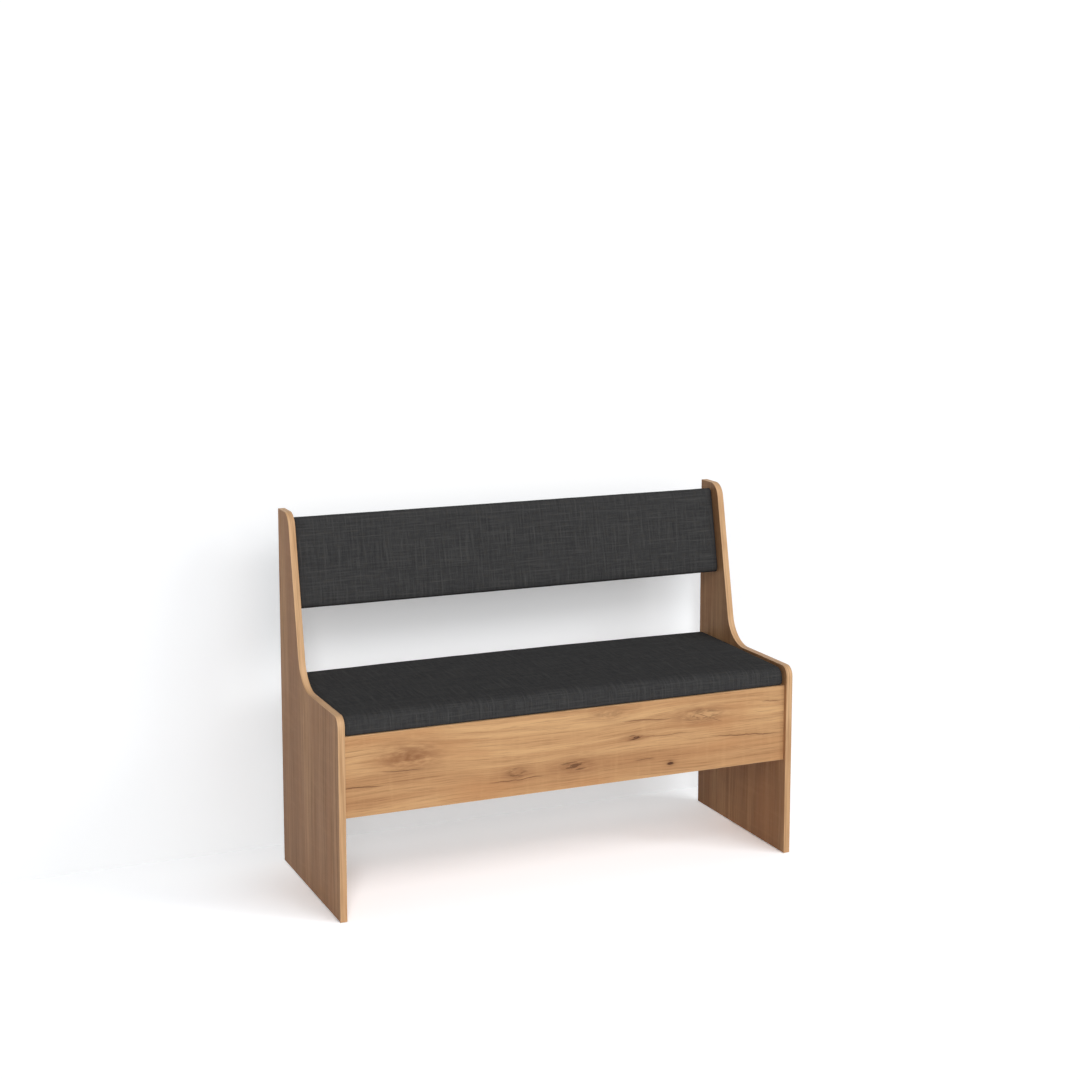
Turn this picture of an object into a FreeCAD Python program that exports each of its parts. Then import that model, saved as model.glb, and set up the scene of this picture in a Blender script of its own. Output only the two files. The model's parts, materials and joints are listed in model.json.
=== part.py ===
import FreeCAD, Part
import math
import os

# Storage bench: two shaped side panels, a chest between them, a hinged padded seat and a leaning backrest.
# Millimetres. +Z is up, +X runs along the bench and the bench faces -Y.
# The origin is on the floor, under the middle of the bench's bounding box.

# Overall size
bench_length = 1130.0
bench_depth = 435.0
bench_height = 850.0

# Boards, bands and glides
board_thick = 16.0
band_thick = 1.0
band_rounding = 0.6
glide_height = 1.5
glide_radius = 7.0
glide_spike_radius = 1.2
glide_spike_length = 14.0
glide_tip_length = 2.4
glide_from_edge = 28.0

# Side panel outline: heights from the floor, distances from its front edge
shoulder_height = 460.0
shoulder_radius = 24.0
elbow_from_front = 276.0
elbow_radius = 80.0
slope_angle = 11.6
top_radius = 38.0

# Chest
chest_low = 231.0
chest_top = 413.0
front_panel_inset = 10.0
rear_panel_inset = 45.0

# Knock-down fittings: a cam in the board's face pulls on a bolt screwed into the side panel
cam_radius = 7.4
cam_depth = 12.4
cam_from_end = 34.0
cam_recess_radius = 5.0
cam_recess_width = 1.4
cam_recess_depth = 2.0
bolt_thread_radius = 2.5
bolt_thread_length = 11.0
bolt_collar_radius = 3.8
bolt_collar_length = 2.0
bolt_shank_radius = 2.9
bolt_neck_radius = 1.9
bolt_neck_length = 4.0
bolt_head_radius = 3.2
bolt_head_length = 3.0
bolt_bore_radius = 4.0
dowel_radius = 4.0
dowel_length = 30.0
dowel_depth_in_face = 11.0
dowel_chamfer = 1.0
fitting_clearance = 0.1
fitting_from_long_edge = 36.0
bottom_fitting_from_edge = 60.0
bottom_dowel_from_end = 180.0

# Seat
seat_front_inset = 10.0
seat_rear_inset = 10.0
seat_thick = 46.0
seat_rise_to_rear = 4.5
seat_crown_along = 3.0
seat_crown_across = 2.5
seat_front_round = 21.0
seat_rear_round = 14.0
seat_end_round = 9.0
seat_rest_gap = 0.3
seat_side_gap = 1.0
seat_board_edge = 4.0
seat_board_end = 0.5
seat_margin_front = 45.0
seat_margin_rear = 70.0
seat_margin_end = 45.0

# Backrest
back_low = 630.0
back_height = 214.5
back_thick = 44.0
back_recess = 17.0
back_crown_along = 1.5
back_crown_across = 1.5
back_edge_round = 12.0
back_end_round = 15.0
back_corner_round = 4.0
back_side_gap = 0.3
back_board_edge = 4.0
back_board_end = 0.0
back_margin = 42.0
back_margin_end = 62.0
back_fitting_from_edge = 52.0

# Upholstery
cover_thick = 1.2
margin_thick = 1.0
lining_thick = 0.4
lining_lap = 14.0
low_round = 3.0
crown_share_at_ends = 0.3
end_stations = (0.0, 0.08, 0.25, 0.55, 1.0)
middle_stations = (0.75, 0.5, 0.25)
staple_width = 10.0
staple_wire = 0.8
staple_leg = 6.0
staple_pitch = 75.0

# Hinges: the fixed leaf is on the back of the rear panel, the moving leaf under the seat's rear overhang
hinge_length = 60.0
hinge_leaf_width = 17.0
hinge_leaf_thick = 1.2
hinge_from_end = 150.0
knuckle_radius = 2.7
knuckle_count = 5
knuckle_gap = 0.4
knuckle_clearance = 0.3
pin_radius = 1.5
pin_clearance = 0.05
pin_head_radius = 2.3
pin_head_thick = 0.8
screw_radius = 1.5
screw_head_radius = 2.9
screw_length = 13.0
screw_clearance = 0.1
screw_from_edge = 12.0
screw_tip_length = 3.0
screw_tip_radius = 0.2
screw_recess_radius = 1.8
screw_recess_width = 0.7
screw_recess_depth = 0.7

# Places worked out from the sizes above
left_face = -bench_length / 2
right_face = bench_length / 2
inner_half = bench_length / 2 - board_thick
front_y = -bench_depth / 2
rear_y = bench_depth / 2
panel_low = glide_height
front_panel_y = front_y + front_panel_inset
chest_front_y = front_panel_y + board_thick
rear_panel_y = rear_y - rear_panel_inset
chest_rear_y = rear_panel_y - board_thick
slope_run = math.tan(math.radians(slope_angle))
ends = (-1, 1)
same_place = 0.01

X_AXIS = FreeCAD.Vector(1, 0, 0)
Y_AXIS = FreeCAD.Vector(0, 1, 0)
Z_AXIS = FreeCAD.Vector(0, 0, 1)


def point(x, y, z):
    return FreeCAD.Vector(x, y, z)


def block(low, high):
    """A box between two opposite corners."""
    size = high - low
    return Part.makeBox(size.x, size.y, size.z, low)


def rod(start, end, radius, end_radius=None):
    """A round rod or, with two radii, a cone."""
    along = end - start
    if end_radius is None:
        return Part.makeCylinder(radius, along.Length, start, along)
    return Part.makeCone(radius, end_radius, along.Length, start, along)


def joined(shapes):
    return shapes[0].multiFuse(shapes[1:]) if len(shapes) > 1 else shapes[0]


def without(shape, tools):
    return shape.cut(tools) if tools else shape


def upright(solid):
    """The same solid with its faces pointing outwards."""
    if solid.Volume < 0:
        solid.reverse()
    return solid


class Plane:
    """A flat outline's own directions: a point (a, b) of the outline lies at start + a * across + b * up."""

    def __init__(self, start, across, up):
        self.start = start
        self.across = across
        self.up = up

    def at(self, x, a, b):
        return self.start + X_AXIS * x + self.across * a + self.up * b


def rounded_outline(plane, x, corners, bulges=None):
    """A closed wire through corners (a, b, radius).

    bulges turns an edge into an arc: the index of its first corner gives the way and height of its rise.
    """
    bulges = bulges or {}
    count = len(corners)
    spots = [plane.at(x, a, b) for a, b, _ in corners]
    starts, ends_of, mids = [], [], []
    for i, spot in enumerate(spots):
        radius = corners[i][2]
        back = (spots[i - 1] - spot).normalize()
        ahead = (spots[(i + 1) % count] - spot).normalize()
        half = back.getAngle(ahead) / 2
        reach = radius / math.tan(half)
        centre = spot + (back + ahead).normalize() * (radius / math.sin(half))
        starts.append(spot + back * reach)
        ends_of.append(spot + ahead * reach)
        mids.append(centre + (spot - centre).normalize() * radius if radius > 0 else spot)
    edges = []
    for i in range(count):
        if corners[i][2] > 0:
            edges.append(Part.Arc(starts[i], mids[i], ends_of[i]).toShape())
        here, there = ends_of[i], starts[(i + 1) % count]
        if i in bulges:
            a, b, rise = bulges[i]
            middle = (here + there) * 0.5 + (plane.across * a + plane.up * b) * rise
            edges.append(Part.Arc(here, middle, there).toShape())
        else:
            edges.append(Part.makeLine(here, there))
    return Part.Wire(edges)


def slab(wire, along):
    return Part.Face(wire).extrude(along)


# Side panels

side_plane = Plane(point(0, front_y, 0), Y_AXIS, Z_AXIS)


def side_outline(x, inset, rear_inset):
    """The side panel's outline, drawn in by inset at the front and top and by rear_inset at the rear."""
    slope_shift = inset / math.cos(math.radians(slope_angle))
    elbow_z = shoulder_height - inset
    elbow = elbow_from_front + slope_shift - inset * slope_run
    top_z = bench_height - inset
    top_front = elbow + (top_z - elbow_z) * slope_run
    corners = [
        (inset, panel_low, 0),
        (inset, elbow_z, shoulder_radius - inset),
        (elbow, elbow_z, elbow_radius + inset),
        (top_front, top_z, top_radius - inset),
        (bench_depth - rear_inset, top_z, 0),
        (bench_depth - rear_inset, panel_low, 0),
    ]
    return rounded_outline(side_plane, x, corners)


def soften(band, x_faces):
    """Rounds the band's long outer edges, on both faces of the board."""
    picked = []
    for edge in band.Edges:
        box = edge.BoundBox
        on_face = any(abs(box.XMin - x) < same_place and abs(box.XMax - x) < same_place for x in x_faces)
        if on_face and on_front_path(edge):
            picked.append(edge)
    return band.makeFillet(band_rounding, picked)


def on_front_path(edge):
    """Whether an edge lies on the side panel's own front outline, from the foot to the rear of the top."""
    x = edge.BoundBox.XMin
    outline = side_outline(x, 0, 0)
    front_edges = outline.Edges[:-2]
    middle = edge.valueAt((edge.FirstParameter + edge.LastParameter) / 2)
    spot = Part.Vertex(middle)
    return min(spot.distToShape(part)[0] for part in front_edges) < same_place


def side_panel(outer_x, inner_x):
    """A side panel's board, its front band and its rear band."""
    low_x = min(outer_x, inner_x)
    along = X_AXIS * board_thick
    whole = slab(side_outline(low_x, 0, 0), along)
    board = slab(side_outline(low_x, band_thick, band_thick), along)
    rear_box = block(
        point(low_x, rear_y - band_thick, panel_low),
        point(low_x + board_thick, rear_y, bench_height - band_thick),
    )
    front_band = whole.cut(board).cut(rear_box)
    front_band = soften(front_band.Solids[0], (low_x, low_x + board_thick))
    return board, front_band, rear_box


def glide(x, y):
    """A nail-on glide: a flat disc and its spike, which is driven into the panel's lower edge."""
    disc = rod(point(x, y, 0), point(x, y, glide_height), glide_radius)
    neck = glide_height + glide_spike_length - glide_tip_length
    spike = rod(point(x, y, glide_height), point(x, y, neck), glide_spike_radius)
    tip = rod(point(x, y, neck), point(x, y, glide_height + glide_spike_length), glide_spike_radius, 0)
    return joined([disc, spike, tip])


def glide_hole(x, y):
    top = glide_height + glide_spike_length + fitting_clearance
    return rod(point(x, y, 0), point(x, y, top), glide_spike_radius + fitting_clearance)


# Fittings

cams, bolts, dowels = [], [], []


def cross_recess(centre, outward, sideways, radius, width, depth):
    """Two crossed slots to cut into a face whose outward direction is given."""
    other = outward.cross(sideways)
    slots = []
    for long_way, short_way in ((sideways, other), (other, sideways)):
        corner = centre - long_way * radius - short_way * (width / 2) - outward * depth
        base = Part.makePolygon(
            [
                corner,
                corner + long_way * (2 * radius),
                corner + long_way * (2 * radius) + short_way * width,
                corner + short_way * width,
                corner,
            ]
        )
        slots.append(Part.Face(base).extrude(outward * (depth * 2)))
    return slots


def end_fitting(spot, side, cam_way):
    """A cam and bolt where a board's end meets a side panel.

    spot is on the side panel's inner face, on the board's mid-plane. cam_way points out of the face that
    holds the cam. Returns what to cut from the side panel and from the board.
    """
    into_board = X_AXIS * -side
    into_panel = X_AXIS * side
    axis_way = into_board.cross(cam_way)
    cam_axis = spot + into_board * cam_from_end
    cam_face = cam_axis + cam_way * (board_thick / 2)
    head_end = cam_axis + into_board * bolt_head_length / 2
    head_start = head_end - into_board * bolt_head_length
    neck_start = head_start - into_board * bolt_neck_length
    collar_end = spot + into_board * bolt_collar_length
    bolt = joined(
        [
            rod(spot + into_panel * bolt_thread_length, spot, bolt_thread_radius),
            rod(spot, collar_end, bolt_collar_radius),
            rod(collar_end, neck_start, bolt_shank_radius),
            rod(neck_start, head_start, bolt_neck_radius),
            rod(head_start, head_end, bolt_head_radius),
        ]
    )
    bolts.append(bolt)
    cam = rod(cam_face - cam_way * cam_depth, cam_face, cam_radius)
    bolt_way = rod(spot, head_end + into_board * fitting_clearance, bolt_head_radius + fitting_clearance)
    recess = cross_recess(
        cam_face, cam_way, axis_way, cam_recess_radius, cam_recess_width, cam_recess_depth
    )
    cams.append(without(cam, [bolt_way] + recess))
    clear = fitting_clearance
    panel_cut = rod(spot, spot + into_panel * (bolt_thread_length + clear), bolt_thread_radius + clear)
    cam_pocket = rod(
        cam_face - cam_way * (cam_depth + clear), cam_face + cam_way, cam_radius + clear
    )
    board_cuts = [rod(spot, cam_axis, bolt_bore_radius), cam_pocket]
    return panel_cut, board_cuts


def add_dowel(spot, into_edge):
    """A dowel across a joint, through spot. into_edge points into the board whose edge it enters.

    Returns the one hole, to cut from both boards.
    """
    start = spot - into_edge * dowel_depth_in_face
    end = start + into_edge * dowel_length
    tip = dowel_radius - dowel_chamfer
    dowels.append(
        joined(
            [
                rod(start, start + into_edge * dowel_chamfer, tip, dowel_radius),
                rod(start + into_edge * dowel_chamfer, end - into_edge * dowel_chamfer, dowel_radius),
                rod(end - into_edge * dowel_chamfer, end, dowel_radius, tip),
            ]
        )
    )
    clear = fitting_clearance
    return rod(start - into_edge * clear, end + into_edge * clear, dowel_radius + clear)


# Cushions

def drawn_in(from_end, radius):
    """How far a rounded end has fallen away at this distance from it."""
    if radius <= 0 or from_end >= radius:
        return 0.0
    return radius - math.sqrt(radius**2 - (radius - from_end) ** 2)


def cushion_stations(half, round_radius):
    """Places along the cushion: close together over the rounded ends, wide apart between them."""
    near = [half - round_radius * share for share in end_stations]
    reach = near[-1]
    wide = [reach * share for share in middle_stations]
    right = near + wide
    return [-x for x in right] + [0.0] + right[::-1]


def cushion(plane, half, size, rounds, crown):
    """A crowned cushion as a ruled loft through outlines across it.

    size is (low a, high a, low b, high b). rounds are the radii of the low a edge, the high a edge and, at
    both ends, of the face, the sides and the underside. crown is the rise along the length, across it and
    from low a to high a.
    """
    a0, a1, b0, b1 = size
    low_edge, high_edge, face_end, side_end, under_end = rounds
    along, across, to_high = crown
    wires = []
    for x in cushion_stations(half, max(face_end, side_end)):
        from_end = half - abs(x)
        side = drawn_in(from_end, side_end)
        under = drawn_in(from_end, under_end)
        share = 1 - (x / half) ** 2
        top = b1 - drawn_in(from_end, face_end) - along * (1 - share)
        rise = across * (crown_share_at_ends + (1 - crown_share_at_ends) * share)
        corners = [
            (a0 + side, b0 + under, low_round),
            (a1 - side, b0 + under, low_round),
            (a1 - side, top + to_high, high_edge),
            (a0 + side, top, low_edge),
        ]
        wires.append(rounded_outline(plane, x, corners, {2: (0, 1, rise)}))
    return upright(Part.makeLoft(wires, True, True))


class Upholstery:
    """A board, foam on it, the cover pulled over both and stapled behind, and the lining over its back."""

    def __init__(self, plane, half, size, rounds, crown, board_edge, board_end, margins):
        a0, a1, b0, b1 = size
        self.plane = plane
        skin = cover_thick
        outer = cushion(plane, half, size, rounds, crown)
        inner = cushion(
            plane,
            half - skin,
            (a0 + skin, a1 - skin, b0 + margin_thick, b1 - skin),
            [max(radius - skin, 0) for radius in rounds],
            crown,
        )
        self.board_low = b0 + margin_thick
        self.board_high = self.board_low + board_thick
        self.board_a = (a0 + skin + board_edge, a1 - skin - board_edge)
        self.board_half = half - skin - max(rounds[4] - skin, 0) - board_end
        self.board = self.cuboid(
            self.board_half, self.board_a[0], self.board_a[1], self.board_low, self.board_high
        )
        self.foam = inner.cut(self.board)
        low_margin, high_margin, end_margin = margins
        window = self.cuboid(
            half - end_margin, a0 + low_margin, a1 - high_margin, b0 - margin_thick, self.board_low
        )
        self.cover = outer.cut(inner).cut(window)
        self.lining_half = half - end_margin + lining_lap
        self.lining_a = (a0 + low_margin - lining_lap, a1 - high_margin + lining_lap)
        self.lining = self.cuboid(
            self.lining_half, self.lining_a[0], self.lining_a[1], b0 - lining_thick, b0
        )
        self.under = b0
        self.staples = self.staple_ring()

    def cuboid(self, half, a_low, a_high, b_low, b_high):
        base = Part.makePolygon(
            [
                self.plane.at(-half, a_low, b_low),
                self.plane.at(half, a_low, b_low),
                self.plane.at(half, a_high, b_low),
                self.plane.at(-half, a_high, b_low),
                self.plane.at(-half, a_low, b_low),
            ]
        )
        return upright(Part.Face(base).extrude(self.plane.up * (b_high - b_low)))

    def staple(self, x, a, crown_way):
        """One staple, its crown against the lining and its legs up into the board."""
        half, wire = staple_width / 2, staple_wire
        back = self.under - lining_thick
        side_way = self.plane.up.cross(crown_way)
        start = self.plane.at(x, a, back) - side_way * (wire / 2)
        up = self.plane.up
        turns = [
            (-half, -wire),
            (half, -wire),
            (half, staple_leg),
            (half - wire, staple_leg),
            (half - wire, 0),
            (wire - half, 0),
            (wire - half, staple_leg),
            (-half, staple_leg),
        ]
        spots = [start + crown_way * p + up * q for p, q in turns]
        outline = Part.makePolygon(spots + spots[:1])
        return upright(Part.Face(outline).extrude(side_way * wire))

    def staple_ring(self):
        """Staples round the lining, half a lap inside its edge."""
        inset = lining_lap / 2
        half = self.lining_half - inset
        a_low, a_high = self.lining_a[0] + inset, self.lining_a[1] - inset
        staples = []
        steps = max(1, round(2 * half / staple_pitch))
        for i in range(steps + 1):
            x = -half + 2 * half * i / steps
            x = min(max(x, staple_width - half), half - staple_width)
            staples += [self.staple(x, a, X_AXIS) for a in (a_low, a_high)]
        rows = max(1, round((a_high - a_low) / staple_pitch))
        for j in range(1, rows):
            a = a_low + (a_high - a_low) * j / rows
            staples += [self.staple(x, a, self.plane.across) for x in (-half, half)]
        return staples


# Seat, which is the chest's lid

seat_under = chest_top + seat_rest_gap
seat_plane = Plane(point(0, front_y, 0), Y_AXIS, Z_AXIS)
seat = Upholstery(
    seat_plane,
    inner_half - seat_side_gap,
    (seat_front_inset, bench_depth - seat_rear_inset, seat_under, seat_under + seat_thick),
    (seat_front_round, seat_rear_round, seat_end_round, seat_end_round, seat_end_round),
    (seat_crown_along, seat_crown_across, seat_rise_to_rear),
    seat_board_edge,
    seat_board_end,
    (seat_margin_front, seat_margin_rear, seat_margin_end),
)

# Backrest, parallel to the side panels' slope

lean = math.radians(slope_angle)
back_up = point(0, math.sin(lean), math.cos(lean))
back_forward = point(0, -math.cos(lean), math.sin(lean))
back_front_low = point(
    0,
    front_y + elbow_from_front + (back_low - shoulder_height) * slope_run + back_recess,
    back_low,
)
back_plane = Plane(back_front_low - back_forward * back_thick, back_up, back_forward)
backrest = Upholstery(
    back_plane,
    inner_half - back_side_gap,
    (0, back_height, 0, back_thick),
    (back_edge_round, back_edge_round, back_end_round, back_corner_round, 0),
    (back_crown_along, back_crown_across, 0.0),
    back_board_edge,
    back_board_end,
    (back_margin, back_margin, back_margin_end),
)

# Chest boards

front_board = block(
    point(-inner_half, front_panel_y, chest_low + band_thick),
    point(inner_half, chest_front_y, chest_top - band_thick),
)
rear_board = block(
    point(-inner_half, chest_rear_y, chest_low + band_thick),
    point(inner_half, rear_panel_y, chest_top - band_thick),
)
bottom_board = block(
    point(-inner_half, chest_front_y, chest_low),
    point(inner_half, chest_rear_y, chest_low + board_thick),
)


def long_bands(y_low, y_high):
    """The bands on a chest board's lower and upper edge."""
    low = block(point(-inner_half, y_low, chest_low), point(inner_half, y_high, chest_low + band_thick))
    high = block(point(-inner_half, y_low, chest_top - band_thick), point(inner_half, y_high, chest_top))
    return [low, high]


front_bands = long_bands(front_panel_y, chest_front_y)
rear_bands = long_bands(chest_rear_y, rear_panel_y)

# Fittings of every board, and the holes they need

side_cuts = {-1: [], 1: []}
front_cuts, rear_cuts, bottom_cuts, back_board_cuts, back_cover_cuts = [], [], [], [], []
front_mid_y = front_panel_y + board_thick / 2
rear_mid_y = rear_panel_y - board_thick / 2
bottom_mid_z = chest_low + board_thick / 2
chest_mid_z = (chest_low + chest_top) / 2

for side in ends:
    face_x = side * inner_half
    for z in (chest_low + fitting_from_long_edge, chest_top - fitting_from_long_edge):
        for mid_y, cam_way, cuts in (
            (front_mid_y, Y_AXIS, front_cuts),
            (rear_mid_y, Y_AXIS * -1, rear_cuts),
        ):
            panel_cut, board_cuts = end_fitting(point(face_x, mid_y, z), side, cam_way)
            side_cuts[side].append(panel_cut)
            cuts += board_cuts
    for mid_y, cuts in ((front_mid_y, front_cuts), (rear_mid_y, rear_cuts)):
        hole = add_dowel(point(face_x, mid_y, chest_mid_z), X_AXIS * -side)
        side_cuts[side].append(hole)
        cuts.append(hole)
    for y in (chest_front_y + bottom_fitting_from_edge, chest_rear_y - bottom_fitting_from_edge):
        panel_cut, board_cuts = end_fitting(point(face_x, y, bottom_mid_z), side, Z_AXIS * -1)
        side_cuts[side].append(panel_cut)
        bottom_cuts += board_cuts
    hole = add_dowel(point(face_x, (chest_front_y + chest_rear_y) / 2, bottom_mid_z), X_AXIS * -side)
    side_cuts[side].append(hole)
    bottom_cuts.append(hole)
    back_mid = (backrest.board_low + backrest.board_high) / 2
    for a in (back_fitting_from_edge, back_height - back_fitting_from_edge):
        spot = back_plane.at(face_x, a, back_mid)
        panel_cut, board_cuts = end_fitting(spot, side, back_forward * -1)
        side_cuts[side].append(panel_cut)
        back_board_cuts += board_cuts
        back_cover_cuts += board_cuts
    hole = add_dowel(back_plane.at(face_x, back_height / 2, back_mid), X_AXIS * -side)
    side_cuts[side].append(hole)
    back_board_cuts.append(hole)
    back_cover_cuts.append(hole)

for x in (-inner_half + bottom_dowel_from_end, 0.0, inner_half - bottom_dowel_from_end):
    hole = add_dowel(point(x, chest_front_y, bottom_mid_z), Y_AXIS)
    front_cuts.append(hole)
    bottom_cuts.append(hole)
    hole = add_dowel(point(x, chest_rear_y, bottom_mid_z), Y_AXIS * -1)
    rear_cuts.append(hole)
    bottom_cuts.append(hole)

# Hinges

hinge_y = rear_panel_y + knuckle_radius + knuckle_clearance
hinge_z = seat_under - knuckle_radius - knuckle_clearance
hinge_places = (-inner_half + hinge_from_end, 0.0, inner_half - hinge_from_end)
knuckle_length = hinge_length / knuckle_count
leaf_offset = knuckle_radius + knuckle_clearance


def hinge_leaf(x, moving):
    """One leaf with its knuckles: the fixed one is behind the panel, the moving one under the seat."""
    if moving:
        leaf_way, thick_way, odd = Y_AXIS, Z_AXIS, 1
    else:
        leaf_way, thick_way, odd = Z_AXIS * -1, Y_AXIS * -1, 0
    centre = point(x, hinge_y, hinge_z)
    outer = centre + thick_way * leaf_offset

    def plate(x_low, x_high, low, high):
        corner = outer + X_AXIS * x_low + leaf_way * low
        base = Part.makePolygon(
            [
                corner,
                corner + X_AXIS * (x_high - x_low),
                corner + X_AXIS * (x_high - x_low) + leaf_way * (high - low),
                corner + leaf_way * (high - low),
                corner,
            ]
        )
        return upright(Part.Face(base).extrude(thick_way * -hinge_leaf_thick))

    half = hinge_length / 2
    solids = [plate(-half, half, leaf_offset, hinge_leaf_width)]
    for i in range(odd, knuckle_count, 2):
        start = -half + i * knuckle_length + (knuckle_gap / 2 if i else 0)
        end = -half + (i + 1) * knuckle_length - (knuckle_gap / 2 if i < knuckle_count - 1 else 0)
        solids.append(plate(start, end, 0, leaf_offset))
        solids.append(rod(centre + X_AXIS * start, centre + X_AXIS * end, knuckle_radius))
    bore = rod(centre - X_AXIS * half, centre + X_AXIS * half, pin_radius + pin_clearance)
    leaf = joined(solids).cut(bore).removeSplitter()
    spots = [
        outer + X_AXIS * s * (half - screw_from_edge) + leaf_way * (leaf_offset + hinge_leaf_width) / 2
        for s in ends
    ]
    screws = [wood_screw(spot - thick_way * hinge_leaf_thick, thick_way) for spot in spots]
    sinks = [screw_hole(spot - thick_way * hinge_leaf_thick, thick_way) for spot in spots]
    return without(leaf, sinks), screws, sinks


def screw_shape(head_spot, way, radius, head_radius, length):
    """A countersunk head and its shank, from the head's flat face along way."""
    head_depth = hinge_leaf_thick
    tip_start = head_spot + way * (length - screw_tip_length)
    return joined(
        [
            rod(head_spot, head_spot + way * head_depth, head_radius, radius),
            rod(head_spot + way * head_depth, tip_start, radius),
            rod(tip_start, head_spot + way * length, radius, screw_tip_radius),
        ]
    )


def wood_screw(head_spot, way):
    shape = screw_shape(head_spot, way, screw_radius, screw_head_radius, screw_length)
    recess = cross_recess(
        head_spot, way * -1, X_AXIS, screw_recess_radius, screw_recess_width, screw_recess_depth
    )
    return without(shape, recess)


def screw_hole(head_spot, way):
    clear = screw_clearance
    return screw_shape(head_spot, way, screw_radius + clear, screw_head_radius + clear, screw_length + clear)


def hinge_pin(x):
    """The pin, held in the fixed knuckles, with a small head at each end."""
    half = hinge_length / 2
    low = point(x - half, hinge_y, hinge_z)
    high = point(x + half, hinge_y, hinge_z)
    head = X_AXIS * pin_head_thick
    return joined(
        [
            rod(low - head, low, pin_head_radius),
            rod(low, high, pin_radius),
            rod(high, high + head, pin_head_radius),
        ]
    )


fixed_leaves, moving_leaves, pins, panel_screws, seat_screws = [], [], [], [], []
seat_cuts = []
for x in hinge_places:
    leaf, screws, sinks = hinge_leaf(x, moving=False)
    fixed_leaves.append(leaf)
    panel_screws += screws
    rear_cuts += sinks
    leaf, screws, sinks = hinge_leaf(x, moving=True)
    moving_leaves.append(leaf)
    seat_screws += screws
    seat_cuts += sinks
    pins.append(hinge_pin(x))

# Nodes

nodes = {}
for side, name, outer_x in ((-1, "left", left_face), (1, "right", right_face)):
    board, front_band, rear_band = side_panel(outer_x, side * inner_half)
    mid_x = side * (inner_half + board_thick / 2)
    glide_ys = (front_y + glide_from_edge, rear_y - glide_from_edge)
    nodes.setdefault("floor_glides", []).extend(glide(mid_x, y) for y in glide_ys)
    holes = side_cuts[side] + [glide_hole(mid_x, y) for y in glide_ys]
    nodes["side_panel_" + name] = without(board, holes)
    nodes["edge_band_" + name + "_front"] = front_band
    nodes["edge_band_" + name + "_rear"] = rear_band

nodes["front_panel"] = without(front_board, front_cuts)
nodes["front_panel_edge_bands"] = front_bands
nodes["rear_panel"] = without(rear_board, rear_cuts)
nodes["rear_panel_edge_bands"] = rear_bands
nodes["bottom_panel"] = without(bottom_board, bottom_cuts)
nodes["cam_housings"] = cams
nodes["cam_bolts"] = bolts
nodes["wood_dowels"] = dowels
nodes["backrest_board"] = without(backrest.board, back_board_cuts)
nodes["backrest_foam"] = backrest.foam
nodes["backrest_cover"] = without(backrest.cover, back_cover_cuts)
nodes["backrest_lining"] = backrest.lining
nodes["backrest_staples"] = backrest.staples
nodes["hinge_leaves_fixed"] = fixed_leaves
nodes["hinge_pins"] = pins
nodes["hinge_screws_panel"] = panel_screws
nodes["seat_board"] = without(seat.board, seat_cuts)
nodes["seat_foam"] = seat.foam
nodes["seat_cover"] = without(seat.cover, seat_cuts)
nodes["seat_lining"] = seat.lining
nodes["seat_staples"] = seat.staples
nodes["hinge_leaves_moving"] = moving_leaves
nodes["hinge_screws_seat"] = seat_screws

os.makedirs("parts", exist_ok=True)
for name, shape in nodes.items():
    if isinstance(shape, list):
        shape = Part.makeCompound(shape)
    shape.exportStep("parts/" + name + ".step")
    box = shape.BoundBox
    print(
        f"{name}: {len(shape.Solids)} solids, {shape.Volume / 1000:.1f} cm3, valid {shape.isValid()}, "
        f"x {box.XMin:.1f}..{box.XMax:.1f} y {box.YMin:.1f}..{box.YMax:.1f} z {box.ZMin:.1f}..{box.ZMax:.1f}"
    )
print(f"hinge axis y {hinge_y:.2f} z {hinge_z:.2f}")
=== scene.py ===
import json
import math
from collections import namedtuple
from copy import copy

import bmesh
import bpy
from mathutils import Matrix, Vector, noise


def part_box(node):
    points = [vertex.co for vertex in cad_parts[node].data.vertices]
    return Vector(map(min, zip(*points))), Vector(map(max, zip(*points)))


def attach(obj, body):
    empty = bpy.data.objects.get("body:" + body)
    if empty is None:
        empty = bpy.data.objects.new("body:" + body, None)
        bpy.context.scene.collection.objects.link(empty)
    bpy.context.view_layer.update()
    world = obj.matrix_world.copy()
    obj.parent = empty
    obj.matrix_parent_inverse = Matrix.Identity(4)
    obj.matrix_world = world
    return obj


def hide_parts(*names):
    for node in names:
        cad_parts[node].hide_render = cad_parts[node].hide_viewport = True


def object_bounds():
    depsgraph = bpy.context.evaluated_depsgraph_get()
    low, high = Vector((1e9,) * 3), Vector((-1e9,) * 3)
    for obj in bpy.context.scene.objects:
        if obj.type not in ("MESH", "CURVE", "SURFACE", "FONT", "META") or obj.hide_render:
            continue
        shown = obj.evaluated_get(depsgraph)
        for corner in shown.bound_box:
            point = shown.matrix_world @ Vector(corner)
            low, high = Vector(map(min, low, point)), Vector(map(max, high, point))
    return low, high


# Storage bench. Metres, +Z up, +X along the bench, the bench faces -Y, the floor is at Z 0.

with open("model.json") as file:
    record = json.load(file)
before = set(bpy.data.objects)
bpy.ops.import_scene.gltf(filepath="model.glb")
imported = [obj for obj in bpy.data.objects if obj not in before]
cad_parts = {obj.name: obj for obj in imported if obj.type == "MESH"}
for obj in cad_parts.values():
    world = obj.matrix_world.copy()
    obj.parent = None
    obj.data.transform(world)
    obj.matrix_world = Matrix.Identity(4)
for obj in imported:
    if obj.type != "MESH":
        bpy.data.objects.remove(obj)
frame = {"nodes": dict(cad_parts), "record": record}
cad_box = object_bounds()
NODES = frame["nodes"]

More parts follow.
